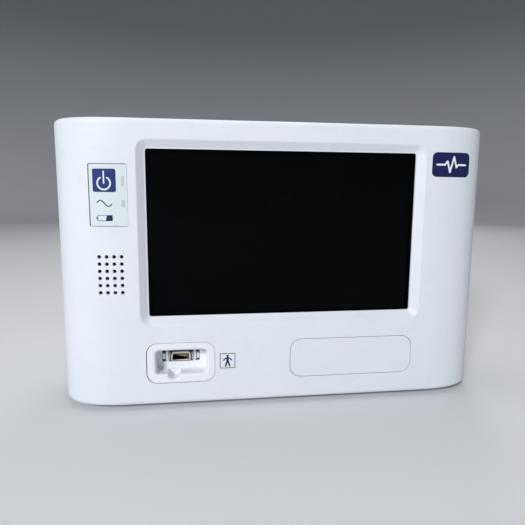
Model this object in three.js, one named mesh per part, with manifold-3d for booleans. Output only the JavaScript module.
// A bedside pulse-oximetry monitor, in millimetres, +Z up.
// The origin is on the plane the feet stand on, under the middle of the housing.
// +X is to the right as the user faces the screen, and the screen faces -Y.

import * as THREE from 'three';
import { mergeVertices } from 'three/addons/utils/BufferGeometryUtils.js';
import Module from 'manifold-3d';

const wasm = await Module();
wasm.setup();

// ---------- Driving dimensions ----------

const WIDTH = 255;
const DEPTH = 82;
const BODY_HEIGHT = 161;
const FOOT_HEIGHT = 2.5;
const WALL = 2.6;
const GAP = 0.3;

const FRONT = -DEPTH / 2;
const BACK = DEPTH / 2;
const BOTTOM = FOOT_HEIGHT;
const TOP = FOOT_HEIGHT + BODY_HEIGHT;
const PARTING = FRONT + 30;

// A range that takes in the whole monitor, and ranges along Y that reach right through a wall.
const ANY = [-400, 400];
const THROUGH_FRONT = [FRONT - 1, FRONT + 8];
const THROUGH_BACK = [BACK - WALL - 1, BACK + 1];

// The front face is flat in the middle and sweeps back to each side along a superellipse.
const FRONT_FLAT_HALF = 86.8;
const FRONT_SWEEP = 28.8;
const SWEEP_POWER = 2.6;
const SWEEP_STEPS = 8;
const REAR_HALF = 122;
const REAR_RADIUS = 14;
const REAR_STEPS = 4;
const EDGE_RADIUS = 3;
const LEAST_EDGE_RADIUS = 0.6;

const SCREEN = { x: 1.2, z: 101, width: 155, height: 93.3, radius: 1.3, chamfer: 4.8, lip: 3, back: 5 };
const FILM = { x: -95.85, z: 122.4, width: 20.5, height: 33.6, recess: 0.8, thickness: 0.4, proud: 0.1 };
const KEY = { x: -97.8, z: 130.35, width: 11.6, height: 11.7, flange: 1.2, travel: 0.8 };
const LAMPS = [
  { x: -98.05, z: 118.15, width: 8.3, height: 3.7 },
  { x: -97.9, z: 110.25, width: 8.6, height: 3.2 },
];
const GRILLE = { x: -96, z: 79.1, columns: 4, rows: 6, pitch: 4, radius: 1, sides: 12 };
const SPEAKER = { x: -97.5, z: 79.1, width: 24, height: 32, ring: FRONT + 5.8 };
const PORT = { x: -58.8, z: 27.4, width: 38.4, height: 23.4, radius: 6 };
const RECESS = { x: -58.6, z: 27.7, width: 28.8, height: 14, radius: 4, depth: 10 };
const SOCKET = { x: -59.2, z: 28.2, width: 11.6, height: 5.1, slope: 0.8, wall: 0.7, proud: 0.8 };
const SOCKET_MOUTH = { sideGap: 1.6, topGap: 0.9 };
const LATCH = { offset: 9.45, width: 2.4, height: 5.4, proud: 0.6 };
const TROUGH = { x: -62.8, z: 21.2, radius: 3.5, wall: 4 };
const BLANK = { x: 42.45, z: 27.4, width: 74.9, height: 22.8, radius: 6.5 };
// The port and the blank plate are held behind the front wall by a flange that reaches out this far.
const FLANGE = { reach: 2.6, thickness: 1.5 };
const CASE_BOSSES = [[-110, 18], [110, 18], [-110, 148], [110, 148]];
const CASE_BOSS = { front: 4.5, rear: 6 };
const CASE_SCREW = { radius: 1.9, head: 3.9, headHeight: 3, well: 8, tip: FRONT + 15 };
const CASE_SCREW_CROSS = { length: 5, width: 1.1, depth: 1.6 };
const DISPLAY_BOSSES = [[-94, -46], [94, -46], [-94, 46], [94, 46]];
const DISPLAY_BOSS = { radius: 3.5, bore: 1.5, back: FRONT + 13.9 };
const DISPLAY_SCREW = { radius: 1.2, head: 2.6, headHeight: 1.8, tip: FRONT + 8, slot: [3.4, 0.8] };
const HANDLE = { x: 0, z: 138.5, width: 104, height: 23, radius: 6, depth: 28 };
const BAY = { x: 42.5, z: 37, width: 121, height: 46, radius: 4, depth: 6 };
const INLET = { x: 84, z: 37, width: 27.4, height: 40, flangeWidth: 31, flangeHeight: 44 };
const MAINS = { z: 28.5, width: 24.4, height: 17, depth: 16, bevel: 5 };
const DRAWER = { x: INLET.x, z: 47.5, width: 22.4, height: 8.4, depth: 22.3, end: 1.2, cradle: 2.3 };
const FUSE = { spread: 4.6, radius: 2.5, length: 20, cap: 5 };
const EARTH_POST = { x: 50, z: 25, radius: 3, collar: 5, nut: 5.5, nutHeight: 3.5 };
const CALL_JACK = { x: 50, z: 46, width: 13.2, height: 12 };
const USB = { x: 22, zs: [28, 46], width: 13.1, height: 5.8 };
const LABEL = { x: -72, z: 54, width: 60, height: 30, recess: 0.8 };
const VENTS = { x: 76, z: 94, count: 10, pitch: 5.2, width: 2.6, height: 32, radius: 1.25 };
const CELL_BAY = { x: [-90, -14], y: [-2, 29], z: [BOTTOM + 2.7, 31], ledge: 6, wall: 2.6, cover: 2.1 };
const DOOR_SCREWS = [[-52, 32], [-52, -5]];
const DOOR_SCREW = { radius: 1.1, bore: 1.4, head: 2.2, well: 2.5, tip: 12, slot: [3, 0.7] };
const FEET = [[-104, -25], [104, -25], [-104, 24], [104, 24]];
const FOOT = { radius: 6, tread: 5.2, chamfer: 1, recess: 0.8 };
const CHASSIS = PARTING + 1.6;
const SHEET = 1.2;
const BOARD = 1.6;

// ---------- Finishes ----------

const FINISHES = {
  housing_white: { color: 0xe6eaf0, roughness: 0.45, metalness: 0 },
  port_white: { color: 0xf2f4f8, roughness: 0.35, metalness: 0 },
  film_grey: { color: 0xd2dade, roughness: 0.3, metalness: 0 },
  key_blue: { color: 0x232f80, roughness: 0.35, metalness: 0 },
  black_plastic: { color: 0x17181a, roughness: 0.55, metalness: 0 },
  steel: { color: 0xb4b6ba, roughness: 0.35, metalness: 1 },
  plated_brass: { color: 0xc9a45a, roughness: 0.3, metalness: 1 },
  heat_sink_aluminium: { color: 0x9a9da1, roughness: 0.45, metalness: 1 },
  display_glass: { color: 0x050506, roughness: 0.05, metalness: 0 },
  display_black: { color: 0x08090a, roughness: 0.3, metalness: 0 },
  board_green: { color: 0x1d5b3a, roughness: 0.5, metalness: 0 },
  black_rubber: { color: 0x1a1a1b, roughness: 0.85, metalness: 0 },
  cell_wrap: { color: 0x2b4a8a, roughness: 0.5, metalness: 0 },
  clear_guide: { color: 0xe8f0f4, roughness: 0.1, metalness: 0 },
  label_silver: { color: 0xc4c7cb, roughness: 0.4, metalness: 0 },
};

// ---------- Solids ----------

function solid(geometry) {
  geometry.deleteAttribute('normal');
  geometry.deleteAttribute('uv');
  const merged = mergeVertices(geometry, 1e-4);
  return new wasm.Manifold(new wasm.Mesh({
    numProp: 3,
    vertProperties: new Float32Array(merged.attributes.position.array),
    triVerts: new Uint32Array(merged.index.array),
  }));
}

function joined(...pieces) {
  return pieces.reduce((whole, piece) => whole.add(piece));
}

function cut(whole, ...tools) {
  return tools.reduce((rest, tool) => rest.subtract(tool), whole);
}

function span(middle, size) {
  return [middle - size / 2, middle + size / 2];
}

// A block between the low and high values of each axis.
function block(xs, ys, zs) {
  const geometry = new THREE.BoxGeometry(xs[1] - xs[0], ys[1] - ys[0], zs[1] - zs[0]);
  geometry.translate((xs[0] + xs[1]) / 2, (ys[0] + ys[1]) / 2, (zs[0] + zs[1]) / 2);
  return solid(geometry);
}

function roundedRect(width, height, radius) {
  const x = width / 2 - radius;
  const y = height / 2 - radius;
  const shape = new THREE.Shape();
  shape.absarc(x, -y, radius, -Math.PI / 2, 0);
  shape.absarc(x, y, radius, 0, Math.PI / 2);
  shape.absarc(-x, y, radius, Math.PI / 2, Math.PI);
  shape.absarc(-x, -y, radius, Math.PI, 1.5 * Math.PI);
  shape.closePath();
  return shape;
}

// An outline drawn as seen from the front, given a thickness from ys[0] to ys[1].
function slab(shape, ys, x, z, curveSegments = 4) {
  const depth = ys[1] - ys[0];
  const geometry = new THREE.ExtrudeGeometry(shape, { depth, bevelEnabled: false, curveSegments });
  geometry.rotateX(Math.PI / 2);
  geometry.translate(x, ys[1], z);
  return solid(geometry);
}

function roundedSlab(place, ys, grow = 0, curveSegments = 4) {
  const shape = roundedRect(place.width + 2 * grow, place.height + 2 * grow, place.radius + grow);
  return slab(shape, ys, place.x, place.z, curveSegments);
}

function squareSlab(place, ys, grow = 0) {
  return block(span(place.x, place.width + 2 * grow), ys, span(place.z, place.height + 2 * grow));
}

// A round bar along Y.
function rod(radius, ys, x, z, sides = 16) {
  const geometry = new THREE.CylinderGeometry(radius, radius, ys[1] - ys[0], sides);
  geometry.translate(x, (ys[0] + ys[1]) / 2, z);
  return solid(geometry);
}

// A round bar along Z.
function pillar(radius, zs, x, y, sides = 16) {
  const geometry = new THREE.CylinderGeometry(radius, radius, zs[1] - zs[0], sides);
  geometry.rotateX(Math.PI / 2);
  geometry.translate(x, y, (zs[0] + zs[1]) / 2);
  return solid(geometry);
}

// ---------- The housing's outline ----------

// The right half of the plan, from the front face round to the rear face.
function rightOutline(inset) {
  const points = [];
  const reach = WIDTH / 2 - FRONT_FLAT_HALF - inset;
  const sweep = FRONT_SWEEP - inset;
  for (let step = 0; step <= SWEEP_STEPS; step += 1) {
    const angle = (step / SWEEP_STEPS) * Math.PI / 2;
    points.push(new THREE.Vector2(
      FRONT_FLAT_HALF + reach * Math.sin(angle) ** (2 / SWEEP_POWER),
      FRONT + inset + sweep * (1 - Math.cos(angle) ** (2 / SWEEP_POWER)),
    ));
  }
  const radius = REAR_RADIUS - inset;
  for (let step = 0; step <= REAR_STEPS; step += 1) {
    const angle = (step / REAR_STEPS) * Math.PI / 2;
    points.push(new THREE.Vector2(
      REAR_HALF - REAR_RADIUS + radius * Math.cos(angle),
      BACK - REAR_RADIUS + radius * Math.sin(angle),
    ));
  }
  return points;
}

// The housing as one rounded block, drawn in all round by the inset.
function housingBlock(inset) {
  const right = rightOutline(inset);
  const left = right.map((point) => new THREE.Vector2(-point.x, point.y)).reverse();
  const edge = Math.max(EDGE_RADIUS - inset, LEAST_EDGE_RADIUS);
  const geometry = new THREE.ExtrudeGeometry(new THREE.Shape([...right, ...left]), {
    depth: BODY_HEIGHT - 2 * inset - 2 * edge,
    bevelThickness: edge,
    bevelSize: edge,
    bevelOffset: -edge,
    bevelSegments: 3,
  });
  geometry.translate(0, 0, BOTTOM + inset + edge);
  return solid(geometry);
}

// ---------- Front of the monitor ----------

function screenPlace(grow, radius) {
  return { x: SCREEN.x, z: SCREEN.z, width: SCREEN.width + grow, height: SCREEN.height + grow, radius };
}

// How much wider and taller each layer of the display is than the window.
const GROWTH = { frame: 24, gasket: 14, gasketHole: 2, touch: 13, lcd: 12, image: -1.6, bracket: 16.4 };

// The tool that cuts the screen window: a sloping border in front and a straight lip behind.
function screenCutter() {
  const straight = roundedSlab(screenPlace(0, SCREEN.radius), [FRONT + SCREEN.lip - 1, FRONT + 12]);
  const geometry = new THREE.ExtrudeGeometry(roundedRect(SCREEN.width, SCREEN.height, SCREEN.radius), {
    depth: 3,
    bevelThickness: SCREEN.lip,
    bevelSize: SCREEN.chamfer,
    bevelSegments: 1,
    curveSegments: 4,
  });
  geometry.rotateX(Math.PI / 2);
  geometry.translate(SCREEN.x, FRONT, SCREEN.z);
  return solid(geometry).add(straight);
}

function grilleHoles() {
  const holes = [];
  for (let column = 0; column < GRILLE.columns; column += 1) {
    for (let row = 0; row < GRILLE.rows; row += 1) {
      const x = GRILLE.x + (column - (GRILLE.columns - 1) / 2) * GRILLE.pitch;
      const z = GRILLE.z + (row - (GRILLE.rows - 1) / 2) * GRILLE.pitch;
      holes.push(rod(GRILLE.radius, THROUGH_FRONT, x, z, GRILLE.sides));
    }
  }
  return holes;
}

function footRecesses(places) {
  return places.map(([x, y]) => pillar(FOOT.radius + GAP, [0, BOTTOM + FOOT.recess], x, y));
}

function displayBossPlaces() {
  return DISPLAY_BOSSES.map(([x, z]) => [SCREEN.x + x, SCREEN.z + z]);
}

// Ribs and posts start inside the thickness of the front wall.
const RIB_FRONT = FRONT + 1;

function speakerRing() {
  const outer = squareSlab(SPEAKER, [RIB_FRONT, SPEAKER.ring], 0.5);
  return outer.subtract(squareSlab(SPEAKER, THROUGH_FRONT, -1.5));
}

function frontPosts() {
  const { radius, back } = DISPLAY_BOSS;
  return [
    ...displayBossPlaces().map(([x, z]) => rod(radius, [RIB_FRONT, back], x, z, 12)),
    ...CASE_BOSSES.map(([x, z]) => rod(CASE_BOSS.front, [RIB_FRONT, CHASSIS - GAP], x, z)),
  ];
}

function frontScrewHoles() {
  const displayHole = [DISPLAY_SCREW.tip - 1, PARTING];
  const caseHole = [CASE_SCREW.tip - 1, PARTING + 4];
  return [
    ...displayBossPlaces().map(([x, z]) => rod(DISPLAY_BOSS.bore, displayHole, x, z, 10)),
    ...CASE_BOSSES.map(([x, z]) => rod(CASE_SCREW.radius + GAP, caseHole, x, z)),
  ];
}

function frontCase() {
  const shell = housingBlock(0).intersect(block(ANY, [FRONT, PARTING], ANY)).subtract(housingBlock(WALL));
  const windowFrame = roundedSlab(screenPlace(GROWTH.frame, 4), [RIB_FRONT, FRONT + SCREEN.back]);
  const ribs = joined(speakerRing(), ...frontPosts()).intersect(housingBlock(1));
  return cut(
    joined(shell, windowFrame, ribs),
    screenCutter(),
    squareSlab(FILM, THROUGH_FRONT).subtract(housingBlock(FILM.recess)),
    squareSlab(KEY, THROUGH_FRONT, GAP),
    ...LAMPS.map((lamp) => squareSlab(lamp, THROUGH_FRONT, GAP)),
    ...grilleHoles(),
    roundedSlab(PORT, THROUGH_FRONT, GAP),
    roundedSlab(BLANK, THROUGH_FRONT, GAP),
    ...frontScrewHoles(),
    ...footRecesses(FEET.slice(0, 2)),
  );
}

function controlFilm() {
  const layer = housingBlock(FILM.proud).subtract(housingBlock(FILM.proud + FILM.thickness));
  return layer.intersect(squareSlab(FILM, THROUGH_FRONT, -GAP)).subtract(squareSlab(KEY, THROUGH_FRONT, GAP));
}

// The key's back plane, level with the front of its flange.
const KEY_BACK = FRONT + 4.4;
const PLUNGER_RADIUS = 1.6;
const SWITCH = { front: FRONT + 7, width: 6.2, depth: 4 };
const PLUNGER_TIP = SWITCH.front + 2;

function powerKey() {
  const cap = squareSlab(KEY, [FRONT - 1, KEY_BACK + KEY.flange]).intersect(housingBlock(FILM.proud));
  return cap.add(squareSlab(KEY, [KEY_BACK, KEY_BACK + KEY.flange], KEY.flange));
}

function switchPlunger() {
  return rod(PLUNGER_RADIUS, [KEY_BACK + KEY.flange + GAP, PLUNGER_TIP], KEY.x, KEY.z, 12);
}

function tactSwitch() {
  const ys = [SWITCH.front, SWITCH.front + SWITCH.depth];
  const body = block(span(KEY.x, SWITCH.width), ys, span(KEY.z, SWITCH.width));
  const floor = PLUNGER_TIP + KEY.travel + GAP;
  return body.subtract(rod(PLUNGER_RADIUS + GAP, [SWITCH.front - 1, floor], KEY.x, KEY.z, 12));
}

function keyBoard() {
  const front = SWITCH.front + SWITCH.depth + GAP;
  const board = block([-109, -86], [front, front + BOARD], [103, 141]);
  const header = block([-104, -92], [front + BOARD - 0.5, front + 6], [104, 108]);
  return board.add(header);
}

// One clear moulding with a post behind each indicator window.
function indicatorLightGuide() {
  const [upper, lower] = LAMPS;
  const web = block(span(upper.x, 11), [KEY_BACK, KEY_BACK + KEY.flange], [lower.z - 3, upper.z + 3]);
  const posts = LAMPS.map((lamp) => squareSlab(lamp, [FRONT, KEY_BACK + 0.5]));
  return web.add(joined(...posts).intersect(housingBlock(FILM.recess)));
}

const SPEAKER_GASKET = [SPEAKER.ring + GAP, SPEAKER.ring + GAP + 1];

function speakerGasket() {
  return squareSlab(SPEAKER, SPEAKER_GASKET).subtract(squareSlab(SPEAKER, [FRONT, 0], -1.8));
}

function speaker() {
  const frame = SPEAKER_GASKET[1] + GAP;
  const basket = squareSlab(SPEAKER, [frame, frame + 2]);
  const funnel = rod(10.5, [frame + 1, frame + 7], SPEAKER.x, SPEAKER.z);
  const magnet = rod(8, [frame + 6.5, frame + 12], SPEAKER.x, SPEAKER.z);
  const cone = rod(9, [frame - 1, frame + 1.2], SPEAKER.x, SPEAKER.z);
  return cut(joined(basket, funnel, magnet), cone);
}

// ---------- Sensor port ----------

// The planes of the front wall's inside, of the recess's floor and of the socket behind it.
const BEHIND_WALL = FRONT + WALL + GAP;
const RECESS_FLOOR = FRONT + RECESS.depth;
const RECESS_BACK = RECESS_FLOOR + 2;
const SOCKET_FRONT = RECESS_FLOOR - SOCKET.proud;
const SOCKET_FLANGE = RECESS_BACK + GAP;

function latchPlaces() {
  return [SOCKET.x - LATCH.offset, SOCKET.x + LATCH.offset];
}

// The openings in the recess's floor for the socket and the two latch posts.
function socketOpenings() {
  const { sideGap, topGap } = SOCKET_MOUTH;
  const through = [FRONT, RECESS_BACK + 1];
  return [
    block(span(SOCKET.x, SOCKET.width + 2 * sideGap), through, span(SOCKET.z, SOCKET.height + 2 * topGap)),
    ...latchPlaces().map((x) => (
      block(span(x, LATCH.width + 2 * GAP), through, span(SOCKET.z, LATCH.height + 2 * GAP))
    )),
  ];
}

// The recess has a trough in its floor, where the sensor's cable lies.
function portSurround() {
  const face = roundedSlab(PORT, [FRONT, BEHIND_WALL]);
  const flange = roundedSlab(PORT, [BEHIND_WALL, BEHIND_WALL + FLANGE.thickness], FLANGE.reach);
  const box = roundedSlab(RECESS, [FRONT, RECESS_BACK], TROUGH.wall);
  return cut(
    joined(face, flange, box),
    roundedSlab(RECESS, [FRONT - 1, RECESS_FLOOR]),
    rod(TROUGH.radius, [FRONT - 1, RECESS_FLOOR - 1], TROUGH.x, TROUGH.z),
    ...socketOpenings(),
  );
}

// The socket's mouth is narrower at the top than at the bottom.
function socketOutline(shrink) {
  const half = SOCKET.width / 2 - shrink;
  const top = SOCKET.height / 2 - shrink;
  return new THREE.Shape([
    new THREE.Vector2(-half, -top),
    new THREE.Vector2(half, -top),
    new THREE.Vector2(half - SOCKET.slope, top),
    new THREE.Vector2(-half + SOCKET.slope, top),
  ]);
}

function socketShell() {
  const flange = block(span(SOCKET.x, 26), [SOCKET_FLANGE, SOCKET_FLANGE + 1], span(SOCKET.z, 10));
  const tube = slab(socketOutline(0), [SOCKET_FRONT, SOCKET_FLANGE + 1], SOCKET.x, SOCKET.z);
  const ys = [RECESS_FLOOR - LATCH.proud, SOCKET_FLANGE + 0.5];
  const posts = latchPlaces().map((x) => block(span(x, LATCH.width), ys, span(SOCKET.z, LATCH.height)));
  const bore = slab(socketOutline(SOCKET.wall), [FRONT, SOCKET_FLANGE + 2], SOCKET.x, SOCKET.z);
  return cut(joined(flange, tube, ...posts), bore);
}

function socketInsert() {
  const outline = socketOutline(SOCKET.wall + GAP);
  const body = slab(outline, [SOCKET_FRONT + 1, SOCKET_FLANGE + 3], SOCKET.x, SOCKET.z);
  const slot = block(span(SOCKET.x, 7.4), [FRONT, SOCKET_FLANGE + 2], span(SOCKET.z, 0.9));
  return body.subtract(slot);
}

const OXIMETRY_FRONT = SOCKET_FLANGE + 3 + GAP;

function oximetryBoard() {
  const board = block([-84, -34], [OXIMETRY_FRONT, OXIMETRY_FRONT + BOARD], [12, 44]);
  const header = block([-44, -37], [OXIMETRY_FRONT + 1, OXIMETRY_FRONT + 7], [16, 40]);
  return board.add(header);
}

// A thin metal can over the board, open towards it.
function oximetryShield() {
  const place = { x: -64.5, z: 28, width: 35, height: 26 };
  const skin = 0.6;
  const front = OXIMETRY_FRONT + BOARD + GAP;
  const back = front + 5;
  return squareSlab(place, [front, back]).subtract(squareSlab(place, [front - 1, back - skin], -skin));
}

// A cover over the place of an optional part, with two ribs behind it.
function blankPlate() {
  const rib = [BEHIND_WALL + 1, BEHIND_WALL + 7];
  return joined(
    roundedSlab(BLANK, [FRONT, BEHIND_WALL + 0.5]),
    roundedSlab(BLANK, [BEHIND_WALL, BEHIND_WALL + FLANGE.thickness], FLANGE.reach),
    ...[-24, 24].map((side) => block(span(BLANK.x + side, 6), rib, span(BLANK.z, 2))),
  );
}

// ---------- The display ----------

// The display's layers, from front to back.
const GASKET_FRONT = FRONT + SCREEN.back + GAP;
const GASKET_BACK = GASKET_FRONT + 1;
const TOUCH_FRONT = GASKET_BACK + GAP;
const TOUCH_BACK = TOUCH_FRONT + 1.5;
const LCD_FRONT = TOUCH_BACK + GAP;
const LCD_BACK = LCD_FRONT + 5.5;
const BRACKET_FRONT = LCD_BACK + GAP;
const BRACKET_BACK = BRACKET_FRONT + SHEET;
const MAIN_BOARD_FRONT = BRACKET_BACK + 5 + GAP;

function screenGasket() {
  const ring = roundedSlab(screenPlace(GROWTH.gasket, 3), [GASKET_FRONT, GASKET_BACK]);
  return ring.subtract(roundedSlab(screenPlace(GROWTH.gasketHole, 2), [FRONT, 0]));
}

function touchPanel() {
  return roundedSlab(screenPlace(GROWTH.touch, 2), [TOUCH_FRONT, TOUCH_BACK]);
}

function lcdModule() {
  const rim = roundedSlab(screenPlace(GROWTH.lcd, 1.5), [LCD_FRONT, LCD_BACK]);
  return rim.subtract(roundedSlab(screenPlace(GROWTH.image, 1), [FRONT, LCD_FRONT + 0.6]));
}

function bracketSpacers() {
  const places = [[-66, -38], [66, -38], [-66, 38], [66, 38]];
  const ys = [BRACKET_FRONT + 0.5, MAIN_BOARD_FRONT - GAP];
  return places.map(([x, z]) => rod(2.8, ys, SCREEN.x + x, SCREEN.z + z, 6));
}

// Ears reach out to the bosses, and a strip folded forwards holds each side of the display.
function bracketEars() {
  const rimHalf = (SCREEN.width + GROWTH.bracket) / 2;
  return [
    ...displayBossPlaces().map(([x, z]) => (
      block(span(x - Math.sign(x) * 5, 18), [BRACKET_FRONT, BRACKET_BACK], span(z, 9))
    )),
    ...[-1, 1].map((side) => {
      const middle = SCREEN.x + side * (rimHalf - SHEET / 2);
      return block(span(middle, SHEET), [TOUCH_FRONT, BRACKET_BACK], span(SCREEN.z, 80));
    }),
  ];
}

function displayBracket() {
  const through = [BRACKET_FRONT - 1, BRACKET_BACK + 1];
  const plate = roundedSlab(screenPlace(GROWTH.bracket, 2), [BRACKET_FRONT, BRACKET_BACK]);
  const openings = [-40, 40].map((side) => (
    roundedSlab({ x: SCREEN.x + side, z: SCREEN.z, width: 56, height: 44, radius: 6 }, through)
  ));
  const screwHoles = displayBossPlaces().map(([x, z]) => rod(DISPLAY_SCREW.radius + 0.5, through, x, z, 10));
  return cut(joined(plate, ...bracketEars(), ...bracketSpacers()), ...openings, ...screwHoles);
}

function displayScrew([x, z]) {
  const under = BRACKET_BACK + GAP;
  const head = rod(DISPLAY_SCREW.head, [under, under + DISPLAY_SCREW.headHeight], x, z, 12);
  const shaft = rod(DISPLAY_SCREW.radius, [DISPLAY_SCREW.tip, under + 1], x, z, 10);
  const [length, width] = DISPLAY_SCREW.slot;
  return head.add(shaft).subtract(block(span(x, length), [under + 1, under + 3], span(z, width)));
}

// Each chip or connector: its range along X, its height off the board and its range along Z.
const CHIPS = [
  [[-40, -18], 2.2, [100, 122]],
  [[-8, 8], 1.8, [96, 114]],
  [[24, 52], 3, [104, 120]],
  [[-58, -48], 4.4, [66, 94]],
  [[20, 60], 4.4, [58, 64]],
];

function mainBoard() {
  const back = MAIN_BOARD_FRONT + BOARD;
  const chips = CHIPS.map(([xs, tall, zs]) => block(xs, [back - 0.5, back + tall], zs));
  return joined(block([-74, 76], [MAIN_BOARD_FRONT, back], [54, 148]), ...chips);
}

// ---------- Rear case ----------

function handlePocket(grow, front) {
  return roundedSlab(HANDLE, [front, BACK + 1], grow);
}

function ventSlots() {
  const slots = [];
  for (const side of [-1, 1]) {
    for (let index = 0; index < VENTS.count; index += 1) {
      const x = side * VENTS.x + (index - (VENTS.count - 1) / 2) * VENTS.pitch;
      slots.push(roundedSlab({ ...VENTS, x }, THROUGH_BACK, 0, 2));
    }
  }
  return slots;
}

const BAY_FLOOR = BACK - BAY.depth;
const SOCKET_BOARD = 16.4;
const SOCKET_BOARD_BACK = SOCKET_BOARD + BOARD;

function cellBayWalls() {
  const reach = CELL_BAY.ledge + CELL_BAY.wall;
  const xs = [CELL_BAY.x[0] - reach, CELL_BAY.x[1] + reach];
  return block(xs, [CELL_BAY.y[0] - reach + 1, CELL_BAY.y[1] + reach], [BOTTOM, CELL_BAY.z[1] + 2]);
}

function cellDoorPlace(shrink) {
  const reach = CELL_BAY.ledge - shrink;
  return {
    xs: [CELL_BAY.x[0] - reach, CELL_BAY.x[1] + reach],
    ys: [CELL_BAY.y[0] - reach, CELL_BAY.y[1] + reach],
  };
}

// Walls and posts inside the rear case: round the pockets and the battery, and behind the screws.
function rearWalls() {
  return joined(
    handlePocket(WALL, BACK - HANDLE.depth - WALL),
    roundedSlab(BAY, [BAY_FLOOR - WALL, BACK], WALL),
    cellBayWalls(),
    ...CASE_BOSSES.map(([x, z]) => rod(CASE_BOSS.rear, [CHASSIS + SHEET + GAP, BACK], x, z)),
    ...[22, 52].map((z) => rod(2.5, [SOCKET_BOARD_BACK + GAP, BAY_FLOOR], 36, z, 10)),
  );
}

function screwWells() {
  return [
    ...CASE_BOSSES.map(([x, z]) => rod(CASE_SCREW.head + 0.5, [BACK - CASE_SCREW.well, BACK + 1], x, z)),
    ...CASE_BOSSES.map(([x, z]) => rod(CASE_SCREW.radius + GAP, [CHASSIS, BACK], x, z)),
    ...DOOR_SCREWS.map(([x, y]) => pillar(DOOR_SCREW.bore, [0, DOOR_SCREW.tip + 1], x, y, 10)),
  ];
}

function bayOpenings() {
  const through = [BAY_FLOOR - 8, BACK];
  return [
    squareSlab(INLET, through, GAP),
    squareSlab(CALL_JACK, through, GAP),
    ...USB.zs.map((z) => squareSlab({ ...USB, z }, through, GAP)),
    rod(EARTH_POST.radius + GAP, through, EARTH_POST.x, EARTH_POST.z),
  ];
}

function rearCase() {
  const half = block(ANY, [PARTING + GAP, BACK], ANY);
  const shell = housingBlock(0).intersect(half).subtract(housingBlock(WALL));
  const door = cellDoorPlace(0);
  return cut(
    shell.add(rearWalls().intersect(housingBlock(0.5))),
    handlePocket(0, BACK - HANDLE.depth),
    roundedSlab(BAY, [BAY_FLOOR, BACK + 1]),
    block(CELL_BAY.x, CELL_BAY.y, [0, CELL_BAY.z[1]]),
    block(door.xs, door.ys, [0, CELL_BAY.z[0] - GAP]),
    squareSlab(LABEL, [BACK - LABEL.recess, BACK + 1], GAP),
    ...ventSlots(),
    ...bayOpenings(),
    ...screwWells(),
    ...footRecesses(FEET.slice(2)),
  );
}

// A ring that lies inside the wall, across the joint between the two halves of the case.
function caseSeal() {
  const inset = WALL + 0.7;
  const width = 1.4;
  const radius = EDGE_RADIUS + inset;
  const outline = { x: 0, z: (BOTTOM + TOP) / 2, width: WIDTH, height: BODY_HEIGHT, radius };
  const ring = roundedSlab(outline, [PARTING - 0.8, PARTING + 1], -inset);
  return ring.subtract(roundedSlab(outline, [PARTING - 2, 0], -inset - width));
}

function caseScrew([x, z]) {
  const under = BACK - CASE_SCREW.well + GAP;
  const top = under + CASE_SCREW.headHeight;
  const head = rod(CASE_SCREW.head, [under, top], x, z);
  const shaft = rod(CASE_SCREW.radius, [CASE_SCREW.tip, under + 1], x, z, 12);
  const { length, width, depth } = CASE_SCREW_CROSS;
  const recess = [top - depth, top + 1];
  return cut(
    head.add(shaft),
    block(span(x, length), recess, span(z, width)),
    block(span(x, width), recess, span(z, length)),
  );
}

function ratingLabel() {
  return squareSlab(LABEL, [BACK - 0.5, BACK - 0.1]);
}

function foot([x, y]) {
  const profile = [
    [0, 0],
    [FOOT.tread, 0],
    [FOOT.radius, FOOT.chamfer],
    [FOOT.radius, BOTTOM + FOOT.recess - GAP],
    [0, BOTTOM + FOOT.recess - GAP],
  ];
  const geometry = new THREE.LatheGeometry(profile.map(([r, z]) => new THREE.Vector2(r, z)), 20);
  geometry.rotateX(Math.PI / 2);
  geometry.translate(x, y, 0);
  return solid(geometry);
}

// ---------- Power ----------

function batteryPack() {
  const xs = [CELL_BAY.x[0] + 1, CELL_BAY.x[1] - 1];
  const ys = [CELL_BAY.y[0] + 1, CELL_BAY.y[1] - 1];
  const pack = block(xs, ys, [CELL_BAY.z[0] + GAP, CELL_BAY.z[1] - 1]);
  const middle = (ys[0] + ys[1]) / 2;
  const groove = block([xs[0] - 1, xs[1] + 1], span(middle, 1), [CELL_BAY.z[1] - 2, CELL_BAY.z[1]]);
  return pack.subtract(groove);
}

function batteryDoor() {
  const place = cellDoorPlace(GAP);
  const plate = block(place.xs, place.ys, [BOTTOM, BOTTOM + CELL_BAY.cover]);
  return cut(
    plate,
    ...DOOR_SCREWS.map(([x, y]) => pillar(DOOR_SCREW.well, [0, BOTTOM + 1.3], x, y)),
    ...DOOR_SCREWS.map(([x, y]) => pillar(DOOR_SCREW.bore, [0, DOOR_SCREW.tip + 1], x, y, 10)),
    ...[-40, -52, -64].map((x) => block(span(x, 6), [10, 11.5], [0, BOTTOM + 0.8])),
  );
}

function doorScrew([x, y]) {
  const head = pillar(DOOR_SCREW.head, [BOTTOM + 0.1, BOTTOM + 1], x, y);
  const shaft = pillar(DOOR_SCREW.radius, [BOTTOM + 0.5, DOOR_SCREW.tip], x, y, 10);
  const [length, width] = DOOR_SCREW.slot;
  return head.add(shaft).subtract(block(span(x, length), span(y, width), [0, BOTTOM + 0.5]));
}

const PSU_FRONT = -3;
const PSU_TOP = PSU_FRONT + BOARD + GAP;

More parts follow.
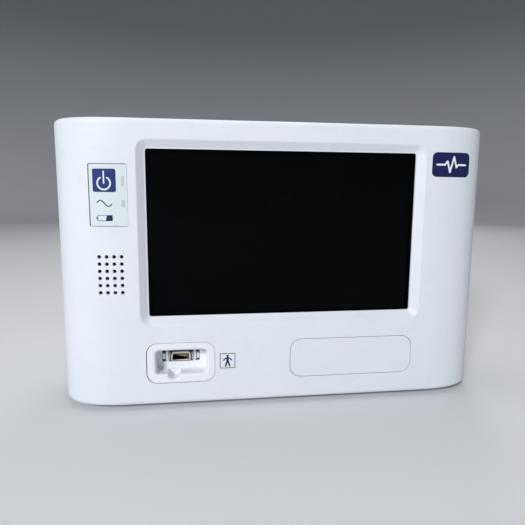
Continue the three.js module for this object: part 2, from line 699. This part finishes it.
// The steel plate across the case that carries the supply; its top edge is folded back.
function chassisPlate() {
  const thick = [CHASSIS, CHASSIS + SHEET];
  const through = [CHASSIS - 1, CHASSIS + 3];
  const width = [-101, 101];
  const top = 122;
  const arms = [-108, 108].map((x) => block(span(x, 16), thick, [12, 154]));
  const spacers = [[4, 72], [92, 72], [4, 114], [92, 114]].map(([x, z]) => (
    rod(2.8, [CHASSIS + 0.5, PSU_FRONT - GAP], x, z, 6)
  ));
  const fold = block([-60, 60], [CHASSIS, CHASSIS + 8], [top - SHEET, top]);
  return cut(
    joined(block(width, thick, [38, top]), fold, ...arms, ...spacers),
    ...[-30, -74].map((x) => roundedSlab({ x, z: 80, width: 34, height: 56, radius: 5 }, through)),
    ...CASE_BOSSES.map(([x, z]) => rod(CASE_SCREW.radius + GAP, through, x, z)),
  );
}

// The board with its mains filter and its output connector.
function powerSupplyBoard() {
  return joined(
    block([-2, 98], [PSU_FRONT, PSU_FRONT + BOARD], [66, 120]),
    block([2, 12], [PSU_FRONT + 1, PSU_FRONT + 12], [68, 76]),
    block([50, 58], [PSU_FRONT + 1, PSU_FRONT + 9], [68, 90]),
  );
}

function transformer() {
  const core = block([64, 92], [PSU_TOP, PSU_TOP + 22], [74, 100]);
  const winding = block([68, 88], [PSU_TOP + 3, PSU_TOP + 19], [71, 103]);
  return core.add(winding);
}

function bulkCapacitor() {
  const radius = 8.5;
  const length = 30;
  const geometry = new THREE.CylinderGeometry(radius, radius, length, 20);
  geometry.rotateZ(Math.PI / 2);
  geometry.translate(32, PSU_TOP + radius, 88);
  return solid(geometry);
}

function heatSink() {
  const ys = [PSU_TOP, PSU_TOP + 16];
  const pitch = 7.5;
  const fins = [];
  for (let index = 0; index < 8; index += 1) {
    const x = 2 + index * pitch;
    fins.push(block([x, x + 1.6], ys, [102, 118]));
  }
  return joined(block([2, 58], ys, [100, 103]), ...fins);
}

const INLET_FACE = BAY_FLOOR + GAP + 3;

// The mains socket's mouth has its two upper corners cut off.
function mainsMouth() {
  const x = MAINS.width / 2;
  const z = MAINS.height / 2;
  const shape = new THREE.Shape([
    new THREE.Vector2(-x, -z),
    new THREE.Vector2(x, -z),
    new THREE.Vector2(x, z - MAINS.bevel),
    new THREE.Vector2(x - MAINS.bevel, z),
    new THREE.Vector2(-x + MAINS.bevel, z),
    new THREE.Vector2(-x, z - MAINS.bevel),
  ]);
  return slab(shape, [INLET_FACE - MAINS.depth, INLET_FACE + 1], INLET.x, MAINS.z);
}

const PIN = { width: 2, height: 4, setBack: 3, tail: 12 };
const INLET_PINS = { line: [-7, -1.8], neutral: [7, -1.8], earth: [0, 3.2] };

function mainsPin([x, z], grow = 0) {
  const ys = [INLET_FACE - MAINS.depth - PIN.tail, INLET_FACE - PIN.setBack];
  return block(span(INLET.x + x, PIN.width + 2 * grow), ys, span(MAINS.z + z, PIN.height + 2 * grow));
}

function mainsInlet() {
  const { x, z, flangeWidth, flangeHeight } = INLET;
  const flangePlace = { x, z, width: flangeWidth, height: flangeHeight, radius: 3 };
  const flange = roundedSlab(flangePlace, [BAY_FLOOR + GAP, INLET_FACE]);
  const body = squareSlab(INLET, [INLET_FACE - 25, INLET_FACE - 1]);
  return cut(
    flange.add(body),
    mainsMouth(),
    squareSlab(DRAWER, [INLET_FACE - DRAWER.depth - GAP, INLET_FACE + 1], GAP),
    ...Object.values(INLET_PINS).map((place) => mainsPin(place, GAP)),
  );
}

const DRAWER_BACK = INLET_FACE - DRAWER.depth;
const CRADLE_FLOOR = DRAWER.z - DRAWER.cradle;

// A tray with a cradle for each fuse, behind a face a little larger than the tray.
function fuseDrawer() {
  const tray = squareSlab(DRAWER, [DRAWER_BACK, INLET_FACE + 1]);
  const face = squareSlab(DRAWER, [INLET_FACE + GAP, INLET_FACE + 2.1], 1.1);
  const cradles = [-1, 1].map((side) => block(
    span(DRAWER.x + side * FUSE.spread, 2 * FUSE.radius + 2 * GAP),
    [DRAWER_BACK + DRAWER.end, INLET_FACE - 0.5],
    [CRADLE_FLOOR, DRAWER.z + DRAWER.height],
  ));
  return cut(tray, ...cradles).add(face);
}

// A glass tube with a metal cap on each end.
function fuse(side) {
  const low = DRAWER_BACK + DRAWER.end + GAP;
  const high = low + FUSE.length;
  const x = DRAWER.x + side * FUSE.spread;
  const z = CRADLE_FLOOR + GAP + FUSE.radius;
  const caps = [[low, low + FUSE.cap], [high - FUSE.cap, high]].map((ys) => rod(FUSE.radius, ys, x, z, 12));
  return joined(rod(FUSE.radius - 0.3, [low + 1, high - 1], x, z, 12), ...caps);
}

// ---------- Sockets at the back ----------

// The call and data sockets stand this far out of the bay's floor.
const SOCKET_FACE = BAY_FLOOR + 1.4;

function earthPost() {
  const { x, z, radius, collar } = EARTH_POST;
  const hexagon = rod(collar, [BAY_FLOOR + GAP, BAY_FLOOR + 2.3], x, z, 6);
  return rod(radius, [BAY_FLOOR - 10, BACK - 0.6], x, z).add(hexagon);
}

function earthNut() {
  const { x, z, radius, nut, nutHeight } = EARTH_POST;
  const back = BAY_FLOOR - WALL - GAP;
  return rod(nut, [back - nutHeight, back], x, z, 6).subtract(rod(radius + GAP, [0, BACK], x, z));
}

function callJack() {
  const { x, z } = CALL_JACK;
  const depth = [SOCKET_FACE - 12, SOCKET_FACE + 1];
  const body = squareSlab(CALL_JACK, [SOCKET_BOARD_BACK + GAP, SOCKET_FACE]);
  const mouth = block(span(x, 10.4), depth, span(z + 0.4, 7.6));
  const latch = block(span(x, 4.4), depth, [z - 5, z]);
  return cut(body, mouth, latch);
}

function usbPort(z) {
  const skin = 0.45;
  const shell = squareSlab({ ...USB, z }, [SOCKET_BOARD_BACK + GAP, SOCKET_FACE]);
  const mouth = squareSlab({ ...USB, z }, [SOCKET_FACE - 10, SOCKET_FACE + 1], -skin);
  const tongue = block(span(USB.x, 10), [SOCKET_FACE - 11, SOCKET_FACE - 1], [z + 0.3, z + 2]);
  return shell.subtract(mouth).add(tongue);
}

function socketBoard() {
  return joined(
    block([8, 62], [SOCKET_BOARD, SOCKET_BOARD_BACK], [18, 58]),
    block([12, 40], [SOCKET_BOARD - 5, SOCKET_BOARD + 0.5], [50, 56]),
  );
}

// ---------- Assembly ----------

const monitor = new THREE.Group();

function place(name, finish, shape) {
  const { numProp, vertProperties, triVerts } = shape.getMesh();
  const geometry = new THREE.BufferGeometry();
  geometry.setAttribute('position', new THREE.BufferAttribute(new Float32Array(vertProperties), numProp));
  geometry.setIndex(new THREE.BufferAttribute(new Uint32Array(triVerts), 1));
  geometry.computeVertexNormals();
  const mesh = new THREE.Mesh(geometry, new THREE.MeshStandardMaterial(FINISHES[finish]));
  mesh.name = name;
  monitor.add(mesh);
}

place('front_case', 'housing_white', frontCase());
place('rear_case', 'housing_white', rearCase());
place('case_seal', 'black_rubber', caseSeal());
CASE_BOSSES.forEach((spot, index) => place(`case_screw_${index + 1}`, 'steel', caseScrew(spot)));
FEET.forEach((spot, index) => place(`foot_${index + 1}`, 'black_rubber', foot(spot)));
place('rating_label', 'label_silver', ratingLabel());

place('control_film', 'film_grey', controlFilm());
place('power_key', 'key_blue', powerKey());
place('switch_plunger', 'black_plastic', switchPlunger());
place('tact_switch', 'black_plastic', tactSwitch());
place('key_board', 'board_green', keyBoard());
place('indicator_light_guide', 'clear_guide', indicatorLightGuide());
place('speaker_gasket', 'black_rubber', speakerGasket());
place('speaker', 'black_plastic', speaker());

place('sensor_port_surround', 'port_white', portSurround());
place('sensor_socket_shell', 'steel', socketShell());
place('sensor_socket_insert', 'black_plastic', socketInsert());
place('oximetry_board', 'board_green', oximetryBoard());
place('oximetry_shield', 'steel', oximetryShield());
place('option_blank_plate', 'housing_white', blankPlate());

place('screen_gasket', 'black_rubber', screenGasket());
place('touch_panel', 'display_glass', touchPanel());
place('lcd_module', 'display_black', lcdModule());
place('display_bracket', 'steel', displayBracket());
displayBossPlaces().forEach((spot, index) => (
  place(`display_screw_${index + 1}`, 'steel', displayScrew(spot))
));
place('main_board', 'board_green', mainBoard());

place('chassis_plate', 'steel', chassisPlate());
place('power_supply_board', 'board_green', powerSupplyBoard());
place('transformer', 'black_plastic', transformer());
place('bulk_capacitor', 'black_plastic', bulkCapacitor());
place('heat_sink', 'heat_sink_aluminium', heatSink());
place('battery_pack', 'cell_wrap', batteryPack());
place('battery_door', 'housing_white', batteryDoor());
DOOR_SCREWS.forEach((spot, index) => place(`battery_door_screw_${index + 1}`, 'steel', doorScrew(spot)));

place('mains_inlet', 'black_plastic', mainsInlet());
Object.entries(INLET_PINS).forEach(([name, spot]) => place(`${name}_pin`, 'plated_brass', mainsPin(spot)));
place('fuse_drawer', 'black_plastic', fuseDrawer());
[-1, 1].forEach((side, index) => place(`fuse_${index + 1}`, 'label_silver', fuse(side)));

place('equipotential_post', 'plated_brass', earthPost());
place('equipotential_nut', 'plated_brass', earthNut());
place('nurse_call_jack', 'black_plastic', callJack());
USB.zs.forEach((z, index) => place(`usb_port_${index + 1}`, 'steel', usbPort(z)));
place('socket_board', 'board_green', socketBoard());

export default monitor;
